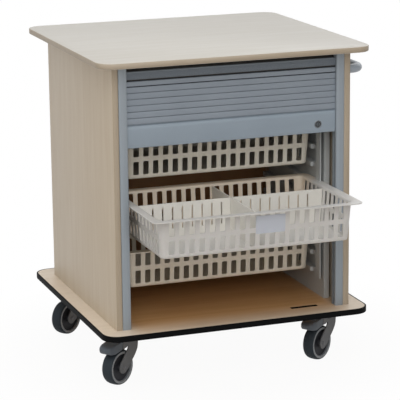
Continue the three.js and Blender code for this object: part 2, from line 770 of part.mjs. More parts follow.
const unit = new THREE.Group();
const cart = new THREE.Group();
cart.add(carcass(), shutterGuides(), shutter(), storedCurtain());
cart.add(baskets(), liners(), pushHandle(), castors());

// The middle of the whole box, from the boards, the handle and the drawn basket
const reachRight = Math.max(bodyWidth / 2 + handleReach + handleTube / 2, boardWidth / 2);
const reachFront = Math.min(traySetback - middleDrawn, -overhangFront);
cart.position.set((boardWidth / 2 - reachRight) / 2, -(reachFront + bodyDepth + overhangBack) / 2, 0);
unit.add(cart);

export default unit;
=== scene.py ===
import json
import math

import bmesh
import bpy
from mathutils import Matrix, Vector


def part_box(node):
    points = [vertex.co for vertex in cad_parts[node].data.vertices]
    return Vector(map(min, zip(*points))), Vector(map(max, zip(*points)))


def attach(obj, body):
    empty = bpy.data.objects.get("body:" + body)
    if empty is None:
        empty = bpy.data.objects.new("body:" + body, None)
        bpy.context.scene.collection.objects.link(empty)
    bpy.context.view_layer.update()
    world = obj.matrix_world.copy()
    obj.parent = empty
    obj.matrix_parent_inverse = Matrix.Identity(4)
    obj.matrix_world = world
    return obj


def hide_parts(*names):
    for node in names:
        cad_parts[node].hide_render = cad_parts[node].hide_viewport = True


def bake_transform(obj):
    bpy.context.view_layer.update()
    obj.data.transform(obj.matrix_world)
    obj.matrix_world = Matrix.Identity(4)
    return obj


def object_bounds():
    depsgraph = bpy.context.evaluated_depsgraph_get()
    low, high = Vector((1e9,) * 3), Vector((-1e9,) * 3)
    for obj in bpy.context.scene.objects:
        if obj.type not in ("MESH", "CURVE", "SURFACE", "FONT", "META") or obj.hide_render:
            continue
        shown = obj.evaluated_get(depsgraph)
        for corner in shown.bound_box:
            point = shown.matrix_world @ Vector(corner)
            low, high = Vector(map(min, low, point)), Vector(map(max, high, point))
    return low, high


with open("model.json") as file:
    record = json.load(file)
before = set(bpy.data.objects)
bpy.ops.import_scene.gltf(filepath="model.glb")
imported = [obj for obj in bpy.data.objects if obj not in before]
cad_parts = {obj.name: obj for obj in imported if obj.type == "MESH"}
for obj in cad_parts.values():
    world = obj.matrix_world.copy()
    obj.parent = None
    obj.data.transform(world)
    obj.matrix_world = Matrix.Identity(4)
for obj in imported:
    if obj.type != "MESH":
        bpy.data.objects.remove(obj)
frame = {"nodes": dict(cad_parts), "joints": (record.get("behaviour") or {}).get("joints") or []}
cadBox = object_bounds()
nodes = frame["nodes"]
joints = {joint["name"]: joint for joint in frame["joints"]}
castorNames = ("front_left", "front_right", "rear_left", "rear_right")
up = Vector((0, 0, 1))
white = (1, 1, 1, 1)
tiny = 1e-6
print("frame:", len(nodes), "nodes")


# shader helpers
def tone(color):
    # a colour as it looks on screen, 0 to 255, as the shader wants it
    def channel(value):
        value /= 255
        return value / 12.92 if value <= 0.04045 else ((value + 0.055) / 1.055) ** 2.4
    return (*[channel(value) for value in color], 1.0)


def give(tree, node, inputs):
    # each input takes a link from another socket, or a constant
    for key, value in inputs.items():
        if isinstance(value, bpy.types.NodeSocket):
            tree.links.new(value, node.inputs[key])
        else:
            node.inputs[key].default_value = value


def place(tree, kind, inputs=None, **settings):
    node = tree.nodes.new(kind)
    for key, value in settings.items():
        setattr(node, key, value)
    give(tree, node, inputs or {})
    return node


def compute(tree, operation, *values, clamp=False):
    node = place(tree, "ShaderNodeMath", dict(enumerate(values)), operation=operation, use_clamp=clamp)
    return node.outputs[0]


def remap(tree, value, span=(0, 1), to=(0, 1), smooth=False):
    limits = {"From Min": span[0], "From Max": span[1], "To Min": to[0], "To Max": to[1]}
    step = "SMOOTHSTEP" if smooth else "LINEAR"
    return place(tree, "ShaderNodeMapRange", {"Value": value, **limits}, interpolation_type=step).outputs[0]


def noise(tree, vector, scale, detail, roughness=0.5, distortion=0.0):
    node = place(tree, "ShaderNodeTexNoise", {"Vector": vector, "Scale": scale, "Detail": detail,
        "Roughness": roughness, "Distortion": distortion})
    return node.outputs[0]


def mixColor(tree, factor, first, second):
    # 0, 6 and 7 are the sockets of the node's colour mode
    return place(tree, "ShaderNodeMix", {0: factor, 6: first, 7: second}, data_type="RGBA").outputs[2]


def objectSpot(tree):
    return tree.nodes.new("ShaderNodeTexCoord").outputs["Object"]


def splitAxes(tree, vector):
    return place(tree, "ShaderNodeSeparateXYZ", {0: vector}).outputs


def newGroup(name, inputs, outputs):
    group = bpy.data.node_groups.new(name, "ShaderNodeTree")
    for label, kind, value in inputs:
        socket = group.interface.new_socket(name=label, in_out="INPUT", socket_type=kind)
        socket.default_value = value
    for label, kind in outputs:
        group.interface.new_socket(name=label, in_out="OUTPUT", socket_type=kind)
    return group, group.nodes.new("NodeGroupInput").outputs, group.nodes.new("NodeGroupOutput")


def useGroup(tree, group, **values):
    return place(tree, "ShaderNodeGroup", values, node_tree=group).outputs


def newMaterial(name, constants):
    material = bpy.data.materials.new(name)
    material.use_nodes = True
    shader = material.node_tree.nodes["Principled BSDF"]
    give(material.node_tree, shader, constants)
    return material, material.node_tree, shader


def cover(tree, shader, color, effect, strength, depth):
    # a colour with the roughness and the fine relief of an effect
    relief = place(tree, "ShaderNodeBump", {"Height": effect["Height"], "Strength": strength,
        "Distance": depth}).outputs["Normal"]
    give(tree, shader, {"Base Color": color, "Roughness": effect["Roughness"], "Normal": relief})


# shared effects
tintInputs = [("Base", "NodeSocketColor", (0.5, 0.5, 0.5, 1)),
    ("Shade", "NodeSocketColor", (0.4, 0.4, 0.4, 1))]
surface = [("Color", "NodeSocketColor"), ("Roughness", "NodeSocketFloat"), ("Height", "NodeSocketFloat")]
grainSpec = {
    "broad": {"scale": 1.0, "detail": 3.0, "roughness": 0.55, "distortion": 0.7},
    "fine": {"scale": 7.0, "detail": 4.0, "roughness": 0.65, "distortion": 0.3},
    "bands": (0.32, 0.72), "pores": (0.5, 0.8), "poreShare": 0.35, "sheen": (0.42, 0.56),
}
skinSpec = {"cloud": {"scale": 9.0, "detail": 4.0}, "gritDetail": 2.0, "patch": (0.4, 0.7),
    "swing": (-0.06, 0.08)}
rubSpec = {"samples": 4, "lean": (0.98, 0.8), "patches": {"scale": 60.0, "detail": 3.0}}
lineSpec = {"line": {"scale": 1.0, "detail": 2.0}, "streak": (0.35, 0.7), "swing": (-0.1, 0.1)}


def drawnOut(group, stretch):
    # object coordinates drawn out along one direction
    return place(group, "ShaderNodeMapping", {"Vector": objectSpot(group), "Scale": stretch}).outputs[0]


def makeBoardGrain():
    spec = grainSpec
    group, start, end = newGroup("boardGrain", [*tintInputs, ("Stretch", "NodeSocketVector", (3, 40, 40))],
        surface)
    along = drawnOut(group, start["Stretch"])
    broad, fine = noise(group, along, **spec["broad"]), noise(group, along, **spec["fine"])
    pores = remap(group, fine, spec["pores"], (0, spec["poreShare"]))
    figure = compute(group, "ADD", remap(group, broad, spec["bands"]), pores, clamp=True)
    give(group, end, {"Color": mixColor(group, figure, start["Base"], start["Shade"]),
        "Roughness": remap(group, fine, to=spec["sheen"]), "Height": fine})
    return group


def makeMouldedSkin():
    spec = skinSpec
    group, start, end = newGroup("mouldedSkin", [*tintInputs, ("Gloss", "NodeSocketFloat", 0.45),
        ("Spark", "NodeSocketFloat", 900.0)], surface)
    cloud = noise(group, objectSpot(group), **spec["cloud"])
    patch = remap(group, cloud, spec["patch"])
    give(group, end, {"Color": mixColor(group, patch, start["Base"], start["Shade"]),
        "Roughness": compute(group, "ADD", start["Gloss"], remap(group, cloud, to=spec["swing"])),
        "Height": noise(group, objectSpot(group), start["Spark"], spec["gritDetail"])})
    return group


def makeEdgeRub():
    # a mask along outer edges, from how far a rounded normal leans away from the true one
    spec = rubSpec
    group, start, end = newGroup("edgeRub", [("Width", "NodeSocketFloat", 0.002),
        ("Amount", "NodeSocketFloat", 0.5)], [("Mask", "NodeSocketFloat")])
    rounded = place(group, "ShaderNodeBevel", {"Radius": start["Width"]}, samples=spec["samples"]).outputs[0]
    plain = group.nodes.new("ShaderNodeNewGeometry").outputs["Normal"]
    lean = place(group, "ShaderNodeVectorMath", {0: rounded, 1: plain}, operation="DOT_PRODUCT")
    patchy = noise(group, objectSpot(group), **spec["patches"])
    rubbed = compute(group, "MULTIPLY", remap(group, lean.outputs["Value"], spec["lean"]), patchy)
    give(group, end, {"Mask": compute(group, "MULTIPLY", rubbed, start["Amount"], clamp=True)})
    return group


def makeDrawnLines():
    # fine lines along one direction, as on drawn or brushed metal
    spec = lineSpec
    group, start, end = newGroup("drawnLines", [*tintInputs, ("Stretch", "NodeSocketVector", (900, 900, 6)),
        ("Gloss", "NodeSocketFloat", 0.35)], surface)
    line = noise(group, drawnOut(group, start["Stretch"]), **spec["line"])
    streak = remap(group, line, spec["streak"])
    give(group, end, {"Color": mixColor(group, streak, start["Base"], start["Shade"]),
        "Roughness": compute(group, "ADD", start["Gloss"], remap(group, line, to=spec["swing"])),
        "Height": line})
    return group


boardGrain = makeBoardGrain()
mouldedSkin = makeMouldedSkin()
edgeRub = makeEdgeRub()
drawnLines = makeDrawnLines()
print("shader groups:", [group.name for group in bpy.data.node_groups])


# finishes
mapleSpec = {
    "light": (206, 192, 171), "dark": (199, 183, 160), "edge": (174, 160, 141), "edgeDark": (166, 151, 130),
    "specular": 0.45, "coat": 0.08, "coatRoughness": 0.35, "bump": 0.12, "depth": 0.0004, "facing": 0.7,
    "across": (0.335, 0.275), "behind": (-0.335, -0.18), "ahead": (0.37, 0.34),  # where the painted shade sets in
}
plasticSpec = {"depth": 0.0003, "glowRadius": (1, 1, 0.9), "glowScale": 0.003}
rubbedSpec = {"spark": 700.0, "width": 0.0015, "amount": 0.5, "bump": 0.06, "depth": 0.0002}
drawnSpec = {"bump": 0.05, "depth": 0.0001}


def facing(tree, axis, limit):
    # 1 where the surface faces along that axis, either way
    normal = splitAxes(tree, tree.nodes.new("ShaderNodeNewGeometry").outputs["Normal"])
    return compute(tree, "GREATER_THAN", compute(tree, "ABSOLUTE", normal[axis]), limit)


def makeMaple(name, stretch, axis, **tones):
    spec = {**mapleSpec, **tones}
    material, tree, shader = newMaterial(name, {"Specular IOR Level": spec["specular"],
        "Coat Weight": spec["coat"], "Coat Roughness": spec["coatRoughness"]})

    def grain(light, dark):
        return useGroup(tree, boardGrain, Base=tone(spec[light]), Shade=tone(spec[dark]), Stretch=stretch)

    face, strip = grain("light", "dark"), grain("edge", "edgeDark")
    # a board lies flat and shows its edges all round, a panel stands and shows them in front and behind
    first, second = (strip, face) if axis == "Z" else (face, strip)
    color = mixColor(tree, facing(tree, axis, spec["facing"]), first["Color"], second["Color"])
    if "inside" in spec:
        # painted shade: the sheltered middle of the board is browner and darker, for the shade inside the unit
        spot = splitAxes(tree, objectSpot(tree))
        within = remap(tree, compute(tree, "ABSOLUTE", spot["X"]), spec["across"], smooth=True)
        behind, ahead = [remap(tree, spot["Y"], spec[key], smooth=True) for key in ("behind", "ahead")]
        shadeMask = compute(tree, "MULTIPLY", within, compute(tree, "MULTIPLY", behind, ahead))
        color = mixColor(tree, shadeMask, color, grain("inside", "insideDark")["Color"])
    cover(tree, shader, color, face, spec["bump"], spec["depth"])
    return material


def makePlastic(name, base, shade, gloss, grit=0.08, spark=900.0, specular=0.5, glow=0.0, rear=None):
    spec = plasticSpec
    material, tree, shader = newMaterial(name, {"Specular IOR Level": specular, "Subsurface Weight": glow,
        "Subsurface Radius": spec["glowRadius"], "Subsurface Scale": spec["glowScale"]})

    def skin(light, dark):
        return useGroup(tree, mouldedSkin, Base=tone(light), Shade=tone(dark), Gloss=gloss, Spark=spark)

    plain = skin(base, shade)
    color = plain["Color"]
    if rear:
        # painted light: the end that stays in the unit is warmer and lighter, for the bounce light there
        behind = remap(tree, splitAxes(tree, objectSpot(tree))["Y"], rear["span"], smooth=True)
        color = mixColor(tree, behind, color, skin(rear["base"], rear["shade"])["Color"])
    cover(tree, shader, color, plain, grit, spec["depth"])
    return material


def makeRubbedCoat(name, base, shade, rubbed, gloss, specular=0.5):
    # a coat that has gone pale along its edges
    spec = rubbedSpec
    material, tree, shader = newMaterial(name, {"Specular IOR Level": specular})
    skin = useGroup(tree, mouldedSkin, Base=tone(base), Shade=tone(shade), Gloss=gloss, Spark=spec["spark"])
    worn = useGroup(tree, edgeRub, Width=spec["width"], Amount=spec["amount"])
    color = mixColor(tree, worn["Mask"], skin["Color"], tone(rubbed))
    cover(tree, shader, color, skin, spec["bump"], spec["depth"])
    return material


def makeDrawnMetal(name, base, shade, stretch, gloss, metallic):
    material, tree, shader = newMaterial(name, {"Metallic": metallic})
    lines = useGroup(tree, drawnLines, Base=tone(base), Shade=tone(shade), Stretch=stretch, Gloss=gloss)
    cover(tree, shader, lines["Color"], lines, drawnSpec["bump"], drawnSpec["depth"])
    return material


# painted sheen: the top's maple is greyer and cooler than the panels', for the sheen on the top
mapleTopSheen = makeMaple("mapleTopSheen", (3, 45, 45), "Z", light=(207, 203, 195), dark=(201, 196, 186))
# painted light: the base's maple is lighter than the panels', for light its margin lacks; its middle takes a
# painted shade
mapleBaseLitAndShaded = makeMaple("mapleBaseLitAndShaded", (3, 45, 45), "Z", light=(225, 210, 191), dark=(218, 202, 181),
    inside=(207, 161, 110), insideDark=(196, 148, 96))
mapleSide = makeMaple("mapleSide", (45, 45, 3), "Y")
# painted shade: a darker, browner maple for the inner back, for the shade deep in the unit
mapleInsideShade = makePlastic("mapleInsideShade", (149, 107, 66), (136, 94, 55), 0.6)
blackBand = makePlastic("blackBand", (9, 10, 11), (13, 14, 15), 0.65, specular=0.06)
postSilver = makeDrawnMetal("postSilver", (147, 155, 162), (141, 149, 156), (900, 900, 5), 0.45, 0.2)
shutterGrey = makePlastic("shutterGrey", (138, 147, 157), (134, 143, 153), 0.42)
# painted shade: a darker grey for the slats closed up under the top, for the top's shadow
followShadeGrey = makePlastic("followShadeGrey", (119, 128, 137), (115, 124, 134), 0.42)
# painted shade: the stored curtain is the slats' plastic, darkened for the shade where it bends away under the
# top
curtainShadeGrey = makePlastic("curtainShadeGrey", (60, 59, 58), (55, 54, 53), 0.6, specular=0.2)
# painted shade: black strips for the shade in the two wide joints
jointShadeBlack = makePlastic("jointShadeBlack", (26, 26, 27), (21, 21, 22), 0.6, specular=0.2)
railGrey = makePlastic("railGrey", (143, 155, 166), (139, 151, 162), 0.4)
linerGrey = makePlastic("linerGrey", (187, 190, 190), (181, 184, 184), 0.5)
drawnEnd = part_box("middle_basket")[1].y
# painted light: the drawn basket's end inside the unit is warmer and lighter, for the bounce light there
drawnRearBounceLight = {"base": (238, 224, 206), "shade": (233, 218, 199), "span": (drawnEnd - 0.12, drawnEnd - 0.05)}
basketCream = makePlastic("basketCream", (209, 207, 204), (205, 202, 197), 0.35, glow=0.3, rear=drawnRearBounceLight)
dividerPale = makePlastic("dividerPale", (226, 223, 216), (220, 217, 209), 0.4, glow=0.3)
# painted light: a warmer cream for the baskets inside the unit, for the warm bounce light there
basketBounceWarm = makePlastic("basketBounceWarm", (235, 229, 215), (230, 223, 208), 0.35, glow=0.3)
labelPale = makePlastic("labelPale", (194, 199, 209), (190, 194, 204), 0.3)
lockNickel = makeDrawnMetal("lockNickel", (121, 125, 128), (112, 115, 119), (400, 400, 400), 0.3, 0.9)
lockDark = makePlastic("lockDark", (33, 34, 37), (27, 29, 31), 0.5)
lockPlugGrey = makeDrawnMetal("lockPlugGrey", (89, 94, 97), (82, 86, 90), (400, 400, 400), 0.5, 0.4)
handleGrey = makeRubbedCoat("handleGrey", (167, 177, 188), (160, 169, 180), (190, 194, 201), 0.34)
castorGrey = makeRubbedCoat("castorGrey", (92, 93, 95), (86, 87, 89), (110, 112, 114), 0.45, 0.35)
shoeGrey = makeRubbedCoat("shoeGrey", (88, 95, 103), (82, 89, 97), (116, 123, 131), 0.4, 0.25)
rimGrey = makePlastic("rimGrey", (127, 131, 135), (119, 123, 127), 0.45)
discDark = makePlastic("discDark", (46, 47, 52), (39, 40, 44), 0.5, specular=0.15)
tyreRubber = makePlastic("tyreRubber", (52, 59, 65), (45, 51, 56), 0.62, grit=0.2, spark=500.0, specular=0.12)
zincSteel = makeDrawnMetal("zincSteel", (180, 183, 186), (168, 171, 174), (300, 300, 300), 0.35, 0.9)
print("materials:", len(bpy.data.materials))


# mesh helpers
def link(name, data):
    item = bpy.data.objects.new(name, data)
    bpy.context.scene.collection.objects.link(item)
    return item


def shadeMesh(mesh, sharp=35):
    mesh.shade_smooth()
    mesh.set_sharp_from_angle(angle=math.radians(sharp))
    return mesh


def makeMesh(name, points, faces, **shading):
    mesh = bpy.data.meshes.new(name)
    mesh.from_pydata([tuple(point) for point in points], [], faces)
    work = bmesh.new()
    work.from_mesh(mesh)
    bmesh.ops.recalc_face_normals(work, faces=work.faces)
    work.to_mesh(mesh)
    work.free()
    return shadeMesh(mesh, **shading)


def addPiece(mesh, body, material, stands=()):
    piece = link(mesh.name, mesh)
    mesh.materials.append(material)
    if body:
        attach(piece, body)
    if stands:
        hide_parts(*stands)
    return piece


def soften(piece, width, segments=2, angle=50):
    edge = piece.modifiers.new("softEdge", "BEVEL")
    edge.width = width
    edge.segments = segments
    edge.limit_method = "ANGLE"
    edge.angle_limit = math.radians(angle)
    edge.harden_normals = True


def baked(piece):
    # the mesh of an object with its modifiers applied
    return bpy.data.meshes.new_from_object(piece.evaluated_get(bpy.context.evaluated_depsgraph_get()))


def joinMeshes(parts):
    points, faces = [], []
    for partPoints, partFaces in parts:
        shift = len(points)
        points += list(partPoints)
        faces += [[index + shift for index in face] for face in partFaces]
    return points, faces


def moved(part, matrix):
    points, faces = part
    return [matrix @ point for point in points], faces


def turnToZ(part):
    # a part from along Y to along Z
    return moved(part, Matrix.Rotation(math.pi / 2, 4, "X"))


def ringFaces(rows):
    # faces between neighbouring rings; where points coincide, a face has fewer corners or drops out
    faces = []
    for low, high in zip(rows, rows[1:]):
        for i in range(len(low)):
            j = (i + 1) % len(low)
            face = list(dict.fromkeys([low[i], low[j], high[j], high[i]]))
            if len(face) > 2:
                faces.append(face)
    return faces


def loft(rings):
    # a closed solid through rings of points
    count = len(rings[0])
    rows = [list(range(k * count, (k + 1) * count)) for k in range(len(rings))]
    return [point for ring in rings for point in ring], [rows[0][::-1], rows[-1], *ringFaces(rows)]


def turned(profile, sides):
    # a (radius, along) profile about the Y axis: it ends on the axis, or closes into a ring
    points, rows = [], []
    for radius, along in profile:
        onAxis = radius < tiny
        rows.append([len(points)] * sides if onAxis else list(range(len(points), len(points) + sides)))
        turns = [2 * math.pi * i / sides for i in range(1 if onAxis else sides)]
        points += [Vector((radius * math.cos(a), along, radius * math.sin(a))) for a in turns]
    if profile[0][0] > tiny:
        rows.append(rows[0])
    return points, ringFaces(rows)


def rod(radius, y0, y1, sides):
    return turned([(0, y0), (radius, y0), (radius, y1), (0, y1)], sides)


def mirrored(half):
    # a (radius, out) profile on both sides of the middle
    return [(radius, -out) for radius, out in half] + [(radius, out) for radius, out in half[::-1]]


def prism(outline, y0, y1):
    # an (x, z) outline drawn out along Y
    return loft([[Vector((x, y, z)) for x, z in outline] for y in (y0, y1)])


def alongX(section, x0, x1):
    # a (y, z) section drawn out along X
    return loft([[Vector((x, y, z)) for y, z in section] for x in (x0, x1)])


def alongZ(section, z0, z1):
    # an (x, y) section drawn out along Z
    return loft([[Vector((x, y, z)) for x, y in section] for z in (z0, z1)])


def rectangle(a0, b0, a1, b1):
    return [(a0, b0), (a1, b0), (a1, b1), (a0, b1)]


def arc(middleA, middleB, radius, start, end, steps):
    turns = [math.radians(start + (end - start) * i / steps) for i in range(steps + 1)]
    return [(middleA + radius * math.cos(a), middleB + radius * math.sin(a)) for a in turns]


def quadCurve(a, control, b, steps):
    found = []
    for t in [i / steps for i in range(steps + 1)]:
        found.append(tuple((1 - t) ** 2 * p + 2 * t * (1 - t) * q + t * t * r
            for p, q, r in zip(a, control, b)))
    return found


def smoothLine(points, steps):
    # a soft curve through the points
    found = []
    padded = [points[0], *points, points[-1]]
    for a, b, c, d in zip(padded, padded[1:], padded[2:], padded[3:]):
        for t in [i / steps for i in range(steps)]:
            found.append(tuple(0.5 * (2 * q + (r - p) * t + (2 * p - 5 * q + 4 * r - s) * t * t
                + (3 * q - p - 3 * r + s) * t ** 3) for p, q, r, s in zip(a, b, c, d)))
    return [*found, points[-1]]


def carve(name, part, tool):
    # a part with the tool's shape cut away
    piece, cutter = link(name, makeMesh(name, *part)), link(name + "Tool", makeMesh(name + "Tool", *tool))
    cut = piece.modifiers.new("cut", "BOOLEAN")
    cut.object = cutter
    cut.solver = "EXACT"
    mesh = baked(piece)
    for used in (piece, cutter):
        bpy.data.objects.remove(used)
    mesh.name = name
    return shadeMesh(mesh)


# boards, posts, tracks and plates keep their CAD solids, with soft edges and their finishes
weldDistance = 0.00001
# the top, base, inner back and stored curtain take finishes with painted light or shade
dressed = {  # finish, width of the soft edge
    "top_board": (mapleTopSheen, 0.0012), "base_board": (mapleBaseLitAndShaded, 0.0004), "base_edge_band": (blackBand, 0.0008),
    "left_panel": (mapleSide, 0.0008), "right_panel": (mapleSide, 0.0008), "back_panel": (mapleSide, 0.0008),
    "inner_back": (mapleInsideShade, 0.0005), "left_post": (postSilver, 0.0012), "right_post": (postSilver, 0.0012),
    "left_shutter_track": (linerGrey, 0.0006), "right_shutter_track": (linerGrey, 0.0006),
    "stored_slat_curtain": (curtainShadeGrey, 0.0003), "long_divider": (dividerPale, 0.0004),
}
dressed.update({f"{corner}_castor_plate": (zincSteel, 0.0008) for corner in castorNames})


def dress(name, material, width):
    node = nodes[name]
    node.data.materials.clear()
    node.data.materials.append(material)
    custom = node.data.attributes.get("custom_normal")
    if custom:
        node.data.attributes.remove(custom)
    node.data.shade_smooth()
    weld = node.modifiers.new("weld", "WELD")
    weld.merge_threshold = weldDistance
    soften(node, width)


for nodeName, (finish, width) in dressed.items():
    dress(nodeName, finish, width)
print("dressed nodes:", len(dressed))


# baskets
basketSpec = {
    "flange": 0.023, "taper": 0.008, "corner": 0.016, "topCorner": 0.018, "rimCorner": 0.020, "cornerSteps": 8,
    "wall": 0.0026, "footFillet": 0.005, "rimFillet": 0.002, "filletTurns": (0, 30, 60, 90),
    "slotPitch": 0.0285, "slotWidth": 0.016, "slotRound": 0.003, "slotRows": ((0.011, 0.049), (0.062, 0.100)),
}


def basketShell(width, depth, height):
    spec = basketSpec
    flange, taper = spec["flange"], spec["taper"]
    foot = (width - 2 * (flange + taper), depth - 2 * (flange + taper))
    bends = [math.pi / 2 * i / spec["cornerSteps"] for i in range(1, spec["cornerSteps"])]

    def slotLines(edge):
        count = 1 + math.floor((edge - 2 * spec["corner"] - spec["slotWidth"]) / spec["slotPitch"] + tiny)
        half, bend = spec["slotWidth"] / 2, spec["slotRound"]
        middles = [(i - (count - 1) / 2) * spec["slotPitch"] for i in range(count)]
        return [m + step for m in middles for step in (-half, -half + bend, half - bend, half)]

    lines = [slotLines(edge) for edge in foot]

    def ring(grown, radius, z):
        # each side with the bend after it, laid out in front and turned to its place
        found = []
        for turn in range(4):
            end, out = foot[turn % 2] / 2 + grown - radius, foot[1 - turn % 2] / 2 + grown
            side = [(s, -out) for s in (-end, *lines[turn % 2], end)]
            side += [(end + radius * math.sin(a), radius * (1 - math.cos(a)) - out) for a in bends]
            toSide = Matrix.Rotation(turn * math.pi / 2, 3, "Z")
            found += [toSide @ Vector((x, y, z)) for x, y in side]
        return found

    def spans(sideLines):
        # which third of a slot each span is, or none
        inner = [None] + [k for _ in range(len(sideLines) // 4) for k in (0, 1, 2, None)]
        return inner + [None] * spec["cornerSteps"]

    columns = (spans(lines[0]) + spans(lines[1])) * 2

    # rows from the floor's edge up the wall and out under the flange: height, growth, corner, slot part
    fillet, bend, turn = spec["footFillet"], spec["rimFillet"], spec["slotRound"]
    under = height - spec["wall"]
    turns = [math.radians(a) for a in spec["filletTurns"]]

    def wallRow(z, part=None, inset=0.0):
        rise = z / height
        corner = spec["corner"] + (spec["topCorner"] - spec["corner"]) * rise
        return z, taper * rise - inset, corner - inset, part

    def flangeRow(z, out):
        corner = spec["topCorner"] + (spec["rimCorner"] - spec["topCorner"]) * out / flange
        return z, taper + out, corner, None

    rows = [wallRow(fillet * (1 - math.cos(a)), None, fillet * (1 - math.sin(a))) for a in turns]
    for low, high in spec["slotRows"]:
        rows += [wallRow(low, 0), wallRow(low + turn, 1), wallRow(high - turn, 2), wallRow(high)]
    rows += [flangeRow(under - bend * (1 - math.sin(a)), bend * (1 - math.cos(a))) for a in turns]
    rows += [flangeRow(under, flange)]

    points, faces = [], []
    count = len(columns)
    for z, grown, corner, _ in rows:
        points += ring(grown, corner, z)
    rings = [list(range(j * count, (j + 1) * count)) for j in range(len(rows))]
    for j in range(len(rows) - 1):
        rowPart = rows[j][3]
        for i in range(count):
            k = (i + 1) % count
            loop = [rings[j][i], rings[j][k], rings[j + 1][k], rings[j + 1][i]]
            if rowPart is None or columns[i] is None:
                faces.append(loop)
            elif rowPart != 1 and columns[i] != 1:
                # a slot's rounded corner: its outer corner, the two beside it and the bend between them
                outer = {(0, 0): 0, (0, 2): 1, (2, 2): 2, (2, 0): 3}[(rowPart, columns[i])]
                corner, far = points[loop[outer]], points[loop[(outer + 2) % 4]]
                points.append(far + (corner - far) * math.sqrt(0.5))
                loop[(outer + 2) % 4] = len(points) - 1
                faces.append(loop)
    return points, [*faces, rings[0][::-1]]


def makeBaskets():
    low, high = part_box("upper_basket")
    sheet = bpy.data.meshes.new("basketSheet")
    points, faces = basketShell(*(high - low))
    sheet.from_pydata(points, [], faces)
    shell = link("basketSheet", sheet)
    wall = shell.modifiers.new("wall", "SOLIDIFY")
    wall.thickness = basketSpec["wall"]
    wall.offset = -1
    wall.use_even_offset = True
    thick = shadeMesh(baked(shell))
    bpy.data.objects.remove(shell)
    for level in ("upper", "middle", "lower"):
        mesh = thick.copy()
        mesh.name = f"{level}BasketShell"
        low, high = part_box(f"{level}_basket")
        mesh.transform(Matrix.Translation(((low.x + high.x) / 2, (low.y + high.y) / 2, low.z)))
        # the baskets inside the unit take the warmer cream of painted bounce light
        finish = basketCream if level == "middle" else basketBounceWarm
        addPiece(mesh, f"{level}_tray", finish, [f"{level}_basket"])


bpy.context.view_layer.update()
makeBaskets()
print("baskets made")


# plain label plate on the drawn basket's front
labelSpec = {"right": 0.037, "width": 0.084, "height": 0.05, "below": 0.013, "thick": 0.0012, "round": 0.003,
    "roundSteps": 4, "edge": 0.0003}


def makeLabel():
    spec = labelSpec
    low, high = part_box("middle_basket")
    tall, taper = high.z - low.z, basketSpec["taper"]
    w, h, r = spec["width"] / 2, spec["height"], spec["round"]
    outline = []
    for i, (x, z) in enumerate(rectangle(r - w, r, w - r, h - r)):
        outline += arc(x, z, r, 90 * i + 180, 90 * i + 270, spec["roundSteps"])
    foot = tall - spec["below"] - h
    front = low.y + basketSpec["flange"] + taper * (1 - foot / tall)
    spot = Vector(((low.x + high.x) / 2 + spec["right"], front, low.z + foot))
    lean = Matrix.Rotation(math.atan2(taper, tall), 4, "X")
    part = moved(prism(outline, -spec["thick"], 0), Matrix.Translation(spot) @ lean)
    piece = addPiece(makeMesh("labelPlate", *part), "middle_tray", labelPale)
    soften(piece, spec["edge"])


# divider across the drawn basket, with slits that line up with the basket's slots
crossSpec = {"slits": 17, "slit": 0.0044, "slitFromTop": 0.010, "slitHeight": 0.062, "roundSteps": 6,
    "notch": 0.0042, "reach": 0.01, "draw": 0.0073}


def makeCrossDivider():
    spec = crossSpec
    low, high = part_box("cross_divider")
    middle, half = (low.x + high.x) / 2, (high.x - low.x) / 2
    side = [(-half + spec["draw"], low.z), (half - spec["draw"], low.z), (half, high.z), (-half, high.z)]
    plate = prism([(middle + x, z) for x, z in side], low.y, high.y)

    def slot(x, width, z0, z1, bend):
        shape = arc(x, z0 + bend, width / 2, 180, 360, spec["roundSteps"])
        shape += arc(x, z1 - bend, width / 2, 0, 180, spec["roundSteps"])
        return prism(shape, low.y - spec["reach"], high.y + spec["reach"])

    top, pitch = high.z - spec["slitFromTop"], basketSpec["slotPitch"]
    cuts = [slot(middle, spec["notch"], (low.z + high.z) / 2, high.z + spec["reach"], 0.0)]
    for i in range(spec["slits"]):
        x = (i - (spec["slits"] - 1) / 2) * pitch
        if abs(x) > pitch / 2:  # the long divider's notch takes the middle
            cuts.append(slot(middle + x, spec["slit"], top - spec["slitHeight"], top, spec["slit"] / 2))
    mesh = carve("crossDividerPlate", plate, joinMeshes(cuts))
    addPiece(mesh, "middle_tray", dividerPale, ["cross_divider"])


makeLabel()
makeCrossDivider()
print("label plate and cross divider made")


# runner liners: a front stile, runners in steps and a thin comb strip that joins the runners' front ends
linerSpec = {
    "wall": 0.003, "stile": 0.016, "sink": 0.001, "edge": 0.0008,
    "reach": 0.020, "height": 0.016, "draft": 0.004, "neckFrom": 0.030, "tipFrom": 0.052,
    "underRim": 0.0033, "steps": 3, "below": 2, "above": 8,  # runners: from basket to basket, below, above
    "strip": (0.0078, 0.0118), "stripFrom": 0.004, "stripTo": 0.034, "stripDrop": 0.024,
}


